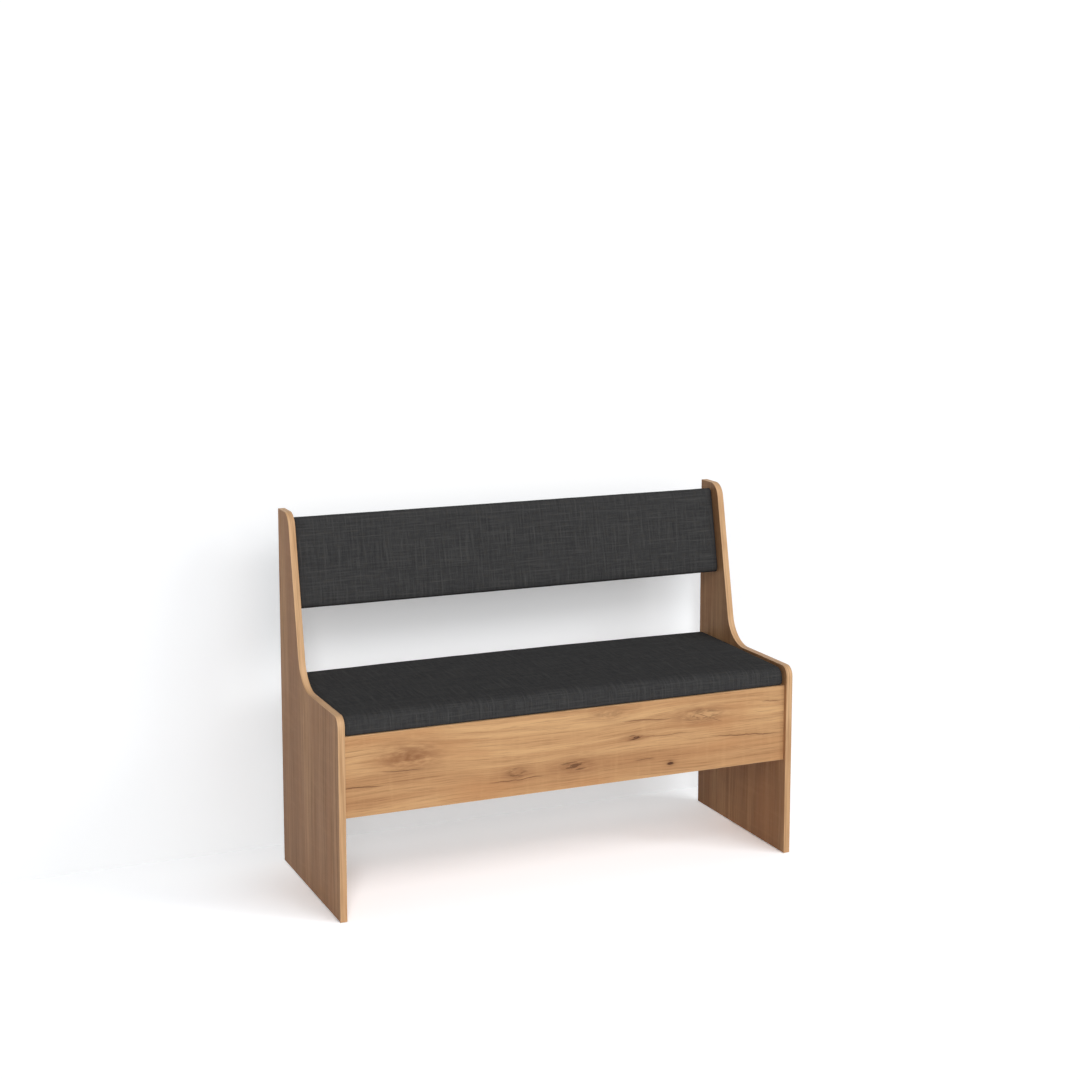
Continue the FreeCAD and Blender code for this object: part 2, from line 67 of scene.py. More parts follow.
# Light and background. A lamp's azimuth runs from the bench's front toward its right end, in degrees.
WORLD_STRENGTH = 0.19
Lamp = namedtuple("Lamp", "azimuth elevation spread strength")
LAMPS = (
    Lamp(20.0, 37.0, 40.0, 0.93),
    Lamp(-20.0, 31.0, 16.0, 0.83),
    Lamp(-20.0, 16.0, 14.0, 0.47),
    Lamp(50.0, 27.0, 14.0, 0.50),
)
STAGE_SIZE = 60.0
WALL_GAP = 0.11
PAPER_WHITE = 1.045
PAPER_TINT = (0.975, 1.0, 1.03, 1.0)
PLAIN_FLOOR = (0.82, 0.82, 0.82, 1.0)
FLOOR_SHADE = 1.02
FLOOR_FRONT_SHADE = 1.80
FLOOR_FRONT = -0.02
FLOOR_REAR = 0.24
FLOOR_LIGHT = 0.60
WALL_SHADE = 0.70
WALL_FOOT_SHADE = 0.58
WALL_FOOT = 0.30
WALL_TOP_SHARE = 0.20
WALL_TOP_LOW = 0.76
WALL_TOP_HIGH = 0.88
WALL_LIGHT = 1.0

# Camera, fitted to the bench's corners in the photograph
CAMERA_PLACE = (-1.781, -4.086, 1.593)
CAMERA_YAW = 23.60
CAMERA_PITCH = 7.90
CAMERA_LENS = 64.45
CAMERA_SHIFT = -0.08
FRAME_WIDTH = 36.0

# Upholstery, as in the part's source
MARGIN_THICK = 0.001
CAM_OPENING = 0.0082
CAM_OPENING_DEPTH = 0.00105
THREAD_PITCH = 0.0014
STAPLE_PITCH = 0.075
FOAM_INSET = 0.0035
BOARD_THICK = 0.016
SEAT_THICK = 0.046
BACK_THICK = 0.044
LEAN = math.radians(11.6)

# Radii of a cushion's low a edge and high a edge, of its ends over the face, the sides and the underside, and
# of the underside's own edges. Its crown rises along and across the face, and from low a to high a.
Rounds = namedtuple("Rounds", "low_edge high_edge face_end side_end under_end underside")
Crown = namedtuple("Crown", "along across to_high")
SEAT_ROUNDS = Rounds(0.021, 0.014, 0.009, 0.009, 0.009, 0.006)
SEAT_CROWN = Crown(0.003, 0.0025, 0.0045)
BACK_ROUNDS = Rounds(0.012, 0.012, 0.015, 0.004, 0.0, 0.004)
BACK_CROWN = Crown(0.0015, 0.0015, 0.0)

# How the cloth is cut and how it lies
COVER_STEP = 0.013
COVER_SLACK = 0.0015
FOAM_STEP = 0.02
HELD_HEIGHT = 0.006
CLOTH_FRAMES = 20
CLOTH_LIFT = 0.0025
WAVE = 0.0006
STAPLE_PULL = 0.0004
PULLED_EDGE = 0.02


class Paint:
    """A material and short calls that add to its node tree. Each call returns an output socket."""

    def __init__(self, name):
        self.material = bpy.data.materials.new(name)
        self.material.use_nodes = True
        self.tree = self.material.node_tree
        self.shader = self.tree.nodes["Principled BSDF"]

    def feed(self, socket, value):
        if isinstance(value, bpy.types.NodeSocket):
            self.tree.links.new(value, socket)
        else:
            socket.default_value = value

    def add(self, kind, values=(), out=0, **settings):
        node = self.tree.nodes.new("ShaderNode" + kind)
        for name, value in settings.items():
            setattr(node, name, value)
        for key, value in dict(values).items():
            self.feed(node.inputs[key], value)
        return node.outputs[out]

    def math(self, operation, *values):
        return self.add("Math", enumerate(values), operation=operation)

    def total(self, *values):
        result = values[0]
        for value in values[1:]:
            result = self.math("ADD", result, value)
        return result

    def product(self, *values):
        result = values[0]
        for value in values[1:]:
            result = self.math("MULTIPLY", result, value)
        return result

    def place(self):
        """The point's own X, Y and Z."""
        coordinates = self.add("TexCoord", out="Object")
        return self.split(coordinates)

    def split(self, vector):
        node = self.tree.nodes.new("ShaderNodeSeparateXYZ")
        self.feed(node.inputs[0], vector)
        return node.outputs[0], node.outputs[1], node.outputs[2]

    def vector(self, x=0.0, y=0.0, z=0.0):
        return self.add("CombineXYZ", enumerate((x, y, z)))

    def noise(self, vector, scale=1.0, detail=2.0, rough=0.5):
        values = {"Vector": vector, "Scale": scale, "Detail": detail, "Roughness": rough}
        return self.add("TexNoise", values)

    def streaks(self, along, across, deep, scales, detail=2.0, rough=0.5):
        """Noise drawn out along the grain: scales are the changes per metre along, across and through."""
        point = self.vector(
            self.math("MULTIPLY", along, scales[0]),
            self.math("MULTIPLY", across, scales[1]),
            self.math("MULTIPLY", deep, scales[2]),
        )
        return self.noise(point, detail=detail, rough=rough)

    def ease(self, value, low, high, to_low=0.0, to_high=1.0):
        """A smooth step from to_low to to_high."""
        values = {"Value": value, "From Min": low, "From Max": high, "To Min": to_low, "To Max": to_high}
        return self.add("MapRange", values, interpolation_type="SMOOTHSTEP")

    def mix(self, share, first, second, blend="MIX"):
        values = {0: share, 6: first, 7: second}
        return self.add("Mix", values, out=2, data_type="RGBA", blend_type=blend)

    def bump(self, height, distance, strength=1.0):
        values = {"Height": height, "Distance": distance, "Strength": strength}
        self.feed(self.shader.inputs["Normal"], self.add("Bump", values))

    def finish(self, **values):
        """Sets the shader's own sockets, named with _ for a space."""
        for name, value in values.items():
            self.feed(self.shader.inputs[name.replace("_", " ")], value)
        return self.material


def colour(red, green, blue):
    """A colour as seen on a screen, 0 to 255, made linear for the shader."""
    def linear(level):
        share = level / 255
        return share / 12.92 if share <= 0.04045 else ((share + 0.055) / 1.055) ** 2.4
    return (linear(red), linear(green), linear(blue), 1.0)


# Oak decor

KNOT_SMOKE = colour(138, 92, 60)
KNOT_DARK = colour(84, 52, 34)
Knot = namedtuple("Knot", "along across length width pull dark smoke")


class Crack(namedtuple("Crack", "along across half slope width dark")):
    def wider(self):
        """The brown stain along the crack."""
        return self._replace(width=self.width * 4.5, dark=self.dark * 0.35)


def eye(paint, along, across, knot):
    """How near a point is to a knot, from 1 at its middle to 0 away from it."""
    u = paint.math("DIVIDE", paint.math("SUBTRACT", along, knot.along), knot.length)
    v = paint.math("DIVIDE", paint.math("SUBTRACT", across, knot.across), knot.width)
    spread = paint.total(paint.product(u, u), paint.product(v, v))
    return paint.math("EXPONENT", paint.math("MULTIPLY", spread, -1.0))


def bent_grain(paint, along, across, deep, knots):
    """The across coordinate, wavy and parted round the knots, so that the grain flows round them."""
    slow = paint.streaks(along, across, deep, (1.6, 5.0, 2.0), detail=1.0)
    quick = paint.streaks(along, across, deep, (9.0, 28.0, 4.0), detail=2.0)
    flow = paint.total(
        across,
        paint.product(paint.math("SUBTRACT", slow, 0.5), 0.045),
        paint.product(paint.math("SUBTRACT", quick, 0.5), 0.0045),
    )
    for knot in knots:
        near = eye(paint, along, across, knot)
        offset = paint.math("SUBTRACT", across, knot.across)
        flow = paint.math("SUBTRACT", flow, paint.product(near, offset, knot.pull))
    return flow


def crack_mask(paint, along, across, crack, wander):
    """A thin dark line along the grain that tapers to both ends."""
    u = paint.math("SUBTRACT", along, crack.along)
    taper = paint.ease(paint.math("ABSOLUTE", u), crack.half, crack.half * 0.35)
    middle = paint.total(paint.math("MULTIPLY", u, crack.slope), crack.across, wander)
    away = paint.math("ABSOLUTE", paint.math("SUBTRACT", across, middle))
    line = paint.ease(away, crack.width, 0.0)
    return paint.product(line, taper, crack.dark)


def knots_and_cracks(paint, place, flow, tone, knots, cracks):
    """The tone with dark knots and cracks, and their brown smoke. place is along, across and through."""
    along, across, deep = place
    torn = paint.streaks(along, flow, deep, (26.0, 300.0, 9.0), detail=3.0, rough=0.7)
    drift = paint.streaks(along, flow, deep, (22.0, 90.0, 5.0), detail=3.0, rough=0.6)
    bends = paint.streaks(along, across, deep, (26.0, 8.0, 2.0), detail=3.0)
    ragged = paint.ease(torn, 0.40, 0.62)
    haze = paint.ease(drift, 0.30, 0.62, 0.25)
    wander = paint.product(paint.math("SUBTRACT", bends, 0.5), 0.010)
    smoke, marks = 0.0, 0.0
    for knot in knots:
        near = eye(paint, along, across, knot)
        core = paint.ease(paint.product(near, ragged), 0.18, 0.70, 0.0, knot.dark)
        marks = paint.math("MAXIMUM", marks, core)
        smoke = paint.math("MAXIMUM", smoke, paint.product(paint.math("SQRT", near), haze, knot.smoke))
    for crack in cracks:
        marks = paint.math("MAXIMUM", marks, crack_mask(paint, along, across, crack, wander))
        smoke = paint.math("MAXIMUM", smoke, crack_mask(paint, along, across, crack.wider(), wander))
    tone = paint.mix(smoke, tone, KNOT_SMOKE)
    return paint.mix(marks, tone, KNOT_DARK)


def oak(name, grain, tones, knots=(), cracks=(), shift=0.0, stripes=1.0):
    """Matt oak decor. grain names the axes along the grain, across it and through the board."""
    paint = Paint(name)
    axes = dict(zip("xyz", paint.place()))
    along, across, deep = (axes[letter] for letter in grain)
    flow = paint.math("ADD", bent_grain(paint, along, across, deep, knots), shift)
    light, dark, pore, heart = tones

    broad = paint.streaks(along, flow, deep, (0.8, 13.0, 3.0), detail=2.0, rough=0.55)
    stripe = paint.streaks(along, flow, deep, (1.2, 62.0, 9.0), detail=2.0, rough=0.6)
    rings = paint.streaks(along, flow, deep, (3.5, 190.0, 20.0), detail=3.0, rough=0.7)
    fine = paint.streaks(along, flow, deep, (11.0, 430.0, 30.0), detail=2.0, rough=0.6)
    fibre = paint.streaks(along, flow, deep, (26.0, 1100.0, 60.0), detail=1.0)
    cloud = paint.streaks(along, across, deep, (3.2, 15.0, 3.0), detail=2.0)
    figure = paint.streaks(along, across, deep, (75.0, 10.0, 3.0), detail=1.0)

    tone = paint.mix(paint.ease(broad, 0.34, 0.66), light, dark)
    tone = paint.mix(paint.ease(stripe, 0.42, 0.72, 0.0, 0.60 * stripes), tone, dark)
    tone = paint.mix(paint.ease(rings, 0.48, 0.78, 0.0, 0.55), tone, pore)
    tone = paint.mix(paint.ease(fine, 0.52, 0.76, 0.0, 0.45), tone, pore)
    tone = paint.mix(paint.ease(cloud, 0.46, 0.72, 0.0, 0.60), tone, heart)
    tone = paint.mix(paint.ease(figure, 0.48, 0.75, 0.0, 0.14), tone, light)
    tone = paint.mix(paint.ease(fibre, 0.56, 0.74, 0.0, 0.30), tone, pore)
    if knots or cracks:
        tone = knots_and_cracks(paint, (along, across, deep), flow, tone, knots, cracks)

    shine = paint.ease(rings, 0.40, 0.75, 0.52, 0.66)
    paint.bump(paint.math("MULTIPLY", paint.total(rings, fibre), -1.0), 0.00006, 0.6)
    return paint.finish(Base_Color=tone, Roughness=shine, Specular_IOR_Level=0.22)


PANEL_TONES = (colour(214, 170, 122), colour(182, 135, 93), colour(134, 91, 58), colour(190, 137, 92))
SIDE_TONES = (colour(192, 147, 106), colour(160, 116, 80), colour(116, 78, 51), colour(170, 121, 83))
BAND_TONES = (colour(214, 173, 130), colour(184, 142, 101), colour(141, 98, 64), colour(178, 134, 94))

FRONT_KNOTS = (
    Knot(0.000, 0.283, 0.042, 0.014, 0.9, 0.70, 0.70),
    Knot(0.150, 0.331, 0.024, 0.006, 0.8, 1.00, 0.80),
    Knot(0.325, 0.365, 0.055, 0.018, 0.9, 0.40, 0.70),
    Knot(-0.400, 0.352, 0.055, 0.024, 0.7, 0.00, 0.90),
    Knot(-0.145, 0.284, 0.026, 0.013, 0.8, 0.50, 0.70),
    Knot(0.090, 0.394, 0.042, 0.013, 0.9, 0.20, 0.60),
    Knot(0.245, 0.259, 0.010, 0.007, 0.6, 1.00, 0.60),
)
FRONT_CRACKS = (
    Crack(-0.510, 0.296, 0.060, -0.06, 0.0013, 0.95),
    Crack(-0.415, 0.323, 0.060, -0.05, 0.0013, 0.90),
    Crack(-0.140, 0.268, 0.085, 0.02, 0.0012, 0.85),
    Crack(0.185, 0.369, 0.085, -0.04, 0.0014, 0.80),
    Crack(0.232, 0.328, 0.075, -0.02, 0.0012, 0.60),
    Crack(0.450, 0.305, 0.115, -0.08, 0.0014, 0.90),
    Crack(0.340, 0.360, 0.050, -0.35, 0.0016, 0.60),
    Crack(0.513, 0.379, 0.030, -0.08, 0.0013, 0.75),
    Crack(0.178, 0.276, 0.032, -0.03, 0.0018, 0.60),
    Crack(0.120, 0.414, 0.060, 0.02, 0.0012, 0.55),
)


def front_oak():
    return oak("front_oak", "xzy", PANEL_TONES, FRONT_KNOTS, FRONT_CRACKS)


def side_oak():
    return oak("side_oak", "zyx", SIDE_TONES, shift=0.35, stripes=1.5)


def carcass_oak():
    return oak("carcass_oak", "xzy", SIDE_TONES, shift=0.8)


def bottom_oak():
    return oak("bottom_oak", "xyz", SIDE_TONES, shift=1.3)


def edge_oak(name, across="x"):
    """Edge band: fine lines along the band, however it turns. across names the axis over its width."""
    paint = Paint(name)
    x, y, z = paint.place()
    wide, long = (y, x) if across == "y" else (x, y)
    light, dark, pore, heart = BAND_TONES
    lines = paint.streaks(wide, long, z, (210.0, 5.0, 5.0), detail=2.0, rough=0.6)
    fibre = paint.streaks(wide, long, z, (900.0, 16.0, 16.0), detail=1.0)
    blots = paint.streaks(wide, long, z, (20.0, 7.0, 7.0), detail=2.0)
    tone = paint.mix(paint.ease(lines, 0.38, 0.72), light, dark)
    # Painted shade: the band darkens toward the floor, from 0.42 m down to 0.06 m, up to 0.35 of the way to
    # its heart tone. The blots added to it are the band's own tone.
    painted_low_shade = paint.product(paint.ease(z, 0.42, 0.06), 0.35)
    tone = paint.mix(paint.total(painted_low_shade, paint.ease(blots, 0.52, 0.78, 0.0, 0.60)), tone, heart)
    tone = paint.mix(paint.ease(fibre, 0.56, 0.76, 0.0, 0.30), tone, pore)
    paint.bump(fibre, 0.00004, 0.5)
    return paint.finish(Base_Color=tone, Roughness=0.5, Specular_IOR_Level=0.3)


# Textiles and foam

def cover_fabric():
    """Charcoal plain weave: crossed threads, thicker slubs along both ways and a mixed yarn."""
    paint = Paint("cover_fabric")
    u, v, _ = paint.split(paint.add("UVMap", uv_map="weave"))
    turn = math.pi / THREAD_PITCH
    over = paint.product(
        paint.math("SINE", paint.math("MULTIPLY", u, turn)),
        paint.math("SINE", paint.math("MULTIPLY", v, turn)),
    )

    def threads(over_u, over_v, layer, detail=2.0, rough=0.6):
        """Noise that changes this often per metre along both ways of the cloth."""
        point = paint.vector(paint.product(u, over_u), paint.product(v, over_v), layer)
        return paint.noise(point, detail=detail, rough=rough)

    warp = threads(640.0, 26.0, 0.0)
    weft = threads(26.0, 640.0, 7.0)
    slub_warp = threads(230.0, 9.0, 3.0, detail=1.0, rough=0.5)
    slub_weft = threads(9.0, 230.0, 5.0, detail=1.0, rough=0.5)
    warm = threads(90.0, 90.0, 11.0, rough=0.5)
    drawn = threads(150.0, 22.0, 13.0)
    cross = threads(18.0, 130.0, 17.0)
    yarn = paint.math("MAXIMUM", paint.ease(warp, 0.42, 0.72), paint.ease(weft, 0.42, 0.72))
    slub = paint.math("MAXIMUM", paint.ease(slub_warp, 0.52, 0.74), paint.ease(slub_weft, 0.52, 0.74))
    thin = paint.math("MAXIMUM", paint.ease(slub_warp, 0.46, 0.26), paint.ease(slub_weft, 0.46, 0.26))
    uneven = paint.total(
        paint.ease(drawn, 0.30, 0.70, -0.5, 0.5),
        paint.ease(cross, 0.30, 0.70, -0.35, 0.35),
    )
    base = paint.mix(paint.ease(over, -0.7, 0.7), colour(42, 42, 43), colour(66, 66, 67))
    base = paint.mix(paint.product(yarn, 0.28), base, colour(88, 87, 86))
    base = paint.mix(paint.product(slub, 0.20), base, colour(94, 93, 90))
    base = paint.mix(paint.product(thin, 0.17), base, colour(28, 28, 29))
    base = paint.mix(paint.ease(warm, 0.50, 0.72, 0.0, 0.30), base, colour(68, 65, 60))
    base = paint.mix(paint.ease(uneven, 0.0, 0.85, 0.0, 0.13), base, colour(82, 82, 81))
    base = paint.mix(paint.ease(uneven, 0.0, -0.85, 0.0, 0.12), base, colour(28, 28, 30))
    height = paint.total(paint.product(over, 0.5), paint.product(yarn, 0.35), paint.product(slub, 0.5))
    paint.bump(height, 0.00016, 0.8)
    return paint.finish(
        Base_Color=base, Roughness=0.95, Specular_IOR_Level=0.01, Sheen_Weight=0.01, Sheen_Roughness=0.5
    )


def lining_fabric():
    """Black non-woven lining with its grid of pressed points."""
    paint = Paint("lining_fabric")
    x, y, z = paint.place()
    turn = math.pi / 0.0016
    points = paint.product(
        paint.math("SINE", paint.math("MULTIPLY", x, turn)),
        paint.math("SINE", paint.math("MULTIPLY", paint.total(y, z), turn)),
    )
    felt = paint.noise(paint.vector(x, y, z), scale=900.0, detail=3.0, rough=0.7)
    base = paint.mix(paint.ease(felt, 0.35, 0.7), colour(22, 22, 23), colour(40, 40, 41))
    base = paint.mix(paint.ease(points, 0.5, 0.9, 0.0, 0.6), base, colour(16, 16, 17))
    paint.bump(paint.math("SUBTRACT", felt, points), 0.0001, 0.7)
    return paint.finish(Base_Color=base, Roughness=0.88)


def foam_material():
    paint = Paint("foam")
    x, y, z = paint.place()
    cells = paint.add("TexVoronoi", {"Vector": paint.vector(x, y, z), "Scale": 650.0})
    base = paint.mix(paint.ease(cells, 0.1, 0.6), colour(196, 188, 160), colour(226, 220, 196))
    paint.bump(cells, 0.0004, 0.8)
    return paint.finish(Base_Color=base, Roughness=0.95)


# Boards' insides, plastics and metals

def chipboard():
    paint = Paint("chipboard")
    x, y, z = paint.place()
    flakes = paint.vector(paint.product(x, 210.0), paint.product(y, 320.0), paint.product(z, 420.0))
    chips = paint.add("TexVoronoi", {"Vector": flakes, "Scale": 1.0, "Randomness": 1.0}, out="Color")
    red, green, _ = paint.split(chips)
    base = paint.mix(paint.ease(red, 0.1, 0.9), colour(172, 138, 98), colour(214, 184, 140))
    base = paint.mix(paint.ease(green, 0.72, 0.95, 0.0, 0.7), base, colour(120, 86, 56))
    paint.bump(red, 0.0002, 0.5)
    return paint.finish(Base_Color=base, Roughness=0.8)


def beech():
    paint = Paint("beech")
    x, y, z = paint.place()
    fleck = paint.streaks(x, y, z, (60.0, 420.0, 420.0), detail=2.0)
    base = paint.mix(paint.ease(fleck, 0.45, 0.75), colour(222, 184, 140), colour(186, 140, 98))
    paint.bump(fleck, 0.0001, 0.5)
    return paint.finish(Base_Color=base, Roughness=0.6)


def moulded(name, base, rough):
    """Matt moulded plastic with a fine grain."""
    paint = Paint(name)
    x, y, z = paint.place()
    grain = paint.noise(paint.vector(x, y, z), scale=1500.0, detail=2.0)
    tone = paint.mix(paint.ease(grain, 0.35, 0.7), base, tuple(min(1, c * 1.35) for c in base[:3]) + (1,))
    paint.bump(grain, 0.00004, 0.6)
    return paint.finish(Base_Color=tone, Roughness=rough)


def metal(name, base, rough, pitch):
    """Plated or cast metal: brushed or cast grain, and slight stains."""
    paint = Paint(name)
    x, y, z = paint.place()
    grain = paint.noise(paint.vector(paint.product(x, pitch), y, z), scale=600.0, detail=2.0)
    stain = paint.noise(paint.vector(x, y, z), scale=120.0, detail=2.0)
    shade = tuple(c * 0.72 for c in base[:3]) + (1,)
    tone = paint.mix(paint.ease(stain, 0.45, 0.8, 0.0, 0.6), base, shade)
    rough_map = paint.ease(grain, 0.3, 0.7, rough * 0.75, rough * 1.25)
    paint.bump(grain, 0.00003, 0.5)
    return paint.finish(Base_Color=tone, Roughness=rough_map, Metallic=1.0)


def dress_nodes():
    """Gives every CAD piece the material of its slot."""
    steel = colour(196, 197, 199)
    made = {
        "side_oak": side_oak(),
        "edge_oak": edge_oak("edge_oak"),
        "front_oak": front_oak(),
        "carcass_oak": carcass_oak(),
        "chipboard": chipboard(),
        "beech": beech(),
        "cover_fabric": cover_fabric(),
        "lining_fabric": lining_fabric(),
        "foam": foam_material(),
        "glide_plastic": moulded("glide_plastic", colour(52, 50, 48), 0.5),
        "cam_zinc": metal("cam_zinc", colour(178, 179, 182), 0.42, 1.0),
        "bolt_steel": metal("bolt_steel", steel, 0.3, 8.0),
        "hinge_steel": metal("hinge_steel", steel, 0.28, 0.1),
        "screw_zinc": metal("screw_zinc", colour(205, 203, 196), 0.3, 1.0),
        "staple_steel": metal("staple_steel", colour(186, 186, 188), 0.32, 1.0),
    }
    long_band = edge_oak("edge_oak_along", across="y")
    own = {
        "bottom_panel": bottom_oak(),
        "front_panel_edge_bands": long_band,
        "rear_panel_edge_bands": long_band,
    }
    for row in frame["record"]["subparts"]:
        surface = own.get(row["node"], made[row["material_slot"]])
        mesh = NODES[row["node"]].data
        mesh.materials.clear()
        mesh.materials.append(surface)
    return made


# Upholstery

def cuts(low, high, near, step):
    """Places to cut between low and high: near the ends as given, and evenly between."""
    first, last = low + near[-1], high - near[-1]
    count = max(1, round((last - first) / step))
    middle = [first + (last - first) * i / count for i in range(count + 1)]
    return [low + d for d in near[:-1]] + middle + [high - d for d in near[:-1]][::-1]


def fall(from_end, radius):
    """How far a rounded end has fallen away at this distance from it."""
    if radius <= 0 or from_end >= radius:
        return 0.0
    return radius - math.sqrt(radius**2 - (radius - from_end) ** 2)


class Cushion:
    """An upholstered board: half its length, its lowest and highest a and b, its rounds and its crown.

    a runs across the cushion and b up from its board: both are turned into the bench's own directions last.
    """

    def __init__(self, name, half, size, rounds, crown, across, up):
        self.name = name
        self.half = half
        self.a0, self.a1, self.b0, self.b1 = size
        self.rounds = rounds
        self.crown = crown
        self.turn = Matrix((
            (1, across.x, up.x, 0),
            (0, across.y, up.y, 0),
            (0, across.z, up.z, 0),
            (0, 0, 0, 1),
        ))

    def blank(self, step):
        """A box of the cushion's size, cut finely at its edges and evenly between."""
        bm = bmesh.new()
        bmesh.ops.create_cube(bm, size=1.0)
        low = Vector((-self.half, self.a0, self.b0))
        high = Vector((self.half, self.a1, self.b1))
        bmesh.ops.scale(bm, vec=high - low, verts=bm.verts)
        bmesh.ops.translate(bm, vec=(low + high) / 2, verts=bm.verts)
        near_ends = (0.0015, 0.0035, 0.006, 0.009, 0.014)
        near_edges = (0.002, 0.005, 0.009, 0.014, 0.021)
        near_faces = (0.0015, 0.004, 0.009, 0.014)
        for axis, (start, end, near) in enumerate((
            (-self.half, self.half, near_ends),
            (self.a0, self.a1, near_edges),
            (self.b0, self.b1, near_faces),
        )):
            normal = Vector([float(axis == i) for i in range(3)])
            for place in cuts(start, end, near, step):
                whole = bm.verts[:] + bm.edges[:] + bm.faces[:]
                bmesh.ops.bisect_plane(bm, geom=whole, dist=1e-6, plane_co=normal * place, plane_no=normal)
        return bm

    def lay_weave(self, bm):
        """Maps the cloth in metres, once round the cushion, before the box is rounded."""
        layer = bm.loops.layers.uv.new("weave")
        thick = self.b1 - self.b0
        depth = self.a1 - self.a0
        for face in bm.faces:
            normal = face.normal
            for loop in face.loops:
                x, a, b = loop.vert.co
                if abs(normal.x) > 0.5:
                    spot = (math.copysign(self.half + self.b1 - b, normal.x), thick + a - self.a0)
                elif normal.y < -0.5:
                    spot = (x, b - self.b0)
                elif normal.y > 0.5:
                    spot = (x, thick + depth + self.b1 - b)
                elif normal.z > 0.5:
                    spot = (x, thick + a - self.a0)
                else:
                    spot = (x, self.a0 - a)
                loop[layer].uv = spot

    def rounded(self, x, a, b, slack):
        """Where a point of the box goes on the crowned cushion, slack inside its full size."""
        rounds = self.rounds
        along, across, to_high = self.crown
        from_end = max(self.half - abs(x), 0.0)
        share = 1 - min(abs(x) / self.half, 1.0) ** 2
        across_share = (a - self.a0) / (self.a1 - self.a0)
        up_share = (b - self.b0) / (self.b1 - self.b0)
        side = fall(from_end, rounds.side_end) + slack
        bottom = self.b0 + fall(from_end, rounds.under_end)
        rise = across * (0.3 + 0.7 * share) * 4 * across_share * (1 - across_share)
        top = self.b1 - fall(from_end, rounds.face_end) - along * (1 - share) - slack
        left, right = self.a0 + side, self.a1 - side
        a = left + (right - left) * across_share
        height = top + to_high * across_share
        b = bottom + (height - bottom) * up_share
        for corner_a, corner_b, radius, way_a, way_b in (
            (left, height, rounds.low_edge, 1, -1),
            (right, height, rounds.high_edge, -1, -1),
            (left, bottom, rounds.underside, 1, 1),
            (right, bottom, rounds.underside, -1, 1),
        ):
            centre_a, centre_b = corner_a + way_a * radius, corner_b + way_b * radius
            out_a, out_b = (centre_a - a) * way_a, (centre_b - b) * way_b
            if out_a > 0 and out_b > 0:
                push = max(out_a, out_b) / math.hypot(out_a, out_b)
                a = centre_a - way_a * out_a * push
                b = centre_b - way_b * out_b * push
        b += rise * up_share**2
        return Vector((math.copysign(max(abs(x) - slack * 0.2, 0), x), a, b))

    def build(self, surface, step, slack):
        bm = self.blank(step)
        self.lay_weave(bm)
        for vert in bm.verts:
            vert.co = self.rounded(*vert.co, slack)
        mesh = bpy.data.meshes.new(self.name)
        bm.to_mesh(mesh)
        bm.free()
        piece = bpy.data.objects.new(self.name, mesh)
        bpy.context.scene.collection.objects.link(piece)
        mesh.materials.append(surface)
        mesh.polygons.foreach_set("use_smooth", [True] * len(mesh.polygons))
        return piece


def puff(piece, cushion):
    """Lets air pressure lift the cover a little off its foam and never into it. The underside stays put."""
    mesh = piece.data
    rest = [vert.co.copy() for vert in mesh.vertices]
    outward = [vert.normal.copy() for vert in mesh.vertices]
    held = piece.vertex_groups.new(name="held")
    held_below = cushion.b0 + HELD_HEIGHT
    held.add([i for i, spot in enumerate(rest) if spot.z < held_below], 1.0, "REPLACE")
    cloth = piece.modifiers.new("cloth", "CLOTH")
    cloth.settings.quality = 6
    cloth.settings.mass = 0.25
    cloth.settings.tension_stiffness = 25
    cloth.settings.compression_stiffness = 25
    cloth.settings.shear_stiffness = 10
    cloth.settings.bending_stiffness = 0.8
    cloth.settings.use_pressure = True
    cloth.settings.uniform_pressure_force = 4.0
    cloth.settings.effector_weights.gravity = 0.0
    cloth.settings.vertex_group_mass = "held"
    cloth.collision_settings.use_collision = False
    for step in range(1, CLOTH_FRAMES + 1):
        bpy.context.scene.frame_set(step)
    view = bpy.context.evaluated_depsgraph_get()
    moved = piece.evaluated_get(view).to_mesh()
    spots = [vert.co.copy() for vert in moved.vertices]
    piece.evaluated_get(view).to_mesh_clear()
    piece.modifiers.remove(cloth)
    bpy.context.scene.frame_set(1)
    for vert, start, end, way in zip(mesh.vertices, rest, spots, outward):
        lift = max((end - start).dot(way), 0.0)
        vert.co = start + way * lift * CLOTH_LIFT / (CLOTH_LIFT + lift)
    piece.vertex_groups.clear()


def settle(piece, cushion):
    """Small unevenness of stretched cloth over foam, and slight pulls where it is stapled behind."""
    middle_a = (cushion.a0 + cushion.a1) / 2
    for vert in piece.data.vertices:
        x, a, b = vert.co
        up_share = min(1.0, max(0.0, (b - cushion.b0) / (cushion.b1 - cushion.b0)))
        swell = noise.noise(Vector((x * 9, a * 11, b * 9))) * WAVE
        swell += noise.noise(Vector((x * 31, a * 37, b * 31))) * WAVE * 0.3
        pull = STAPLE_PULL * (1 - up_share) * (1 - math.cos(2 * math.pi * x / STAPLE_PITCH)) / 2
        outward = math.copysign(1.0, a - middle_a)
        near_edge = max(0.0, 1 - min(a - cushion.a0, cushion.a1 - a) / PULLED_EDGE)
        vert.co.z += swell * up_share
        vert.co.y += outward * near_edge * (swell * 0.5 - pull)
        vert.co.x = min(max(vert.co.x, -cushion.half), cushion.half)
        vert.co.z = max(vert.co.z, cushion.b0)


def refine(piece):
    finer = piece.modifiers.new("finer", "SUBSURF")
    finer.levels = finer.render_levels = 1
    apply_all(piece)


def apply_all(piece):
    """Turns a piece's modifiers into its mesh."""
    view = bpy.context.evaluated_depsgraph_get()
    made = bpy.data.meshes.new_from_object(piece.evaluated_get(view))
    piece.modifiers.clear()
    piece.data = made


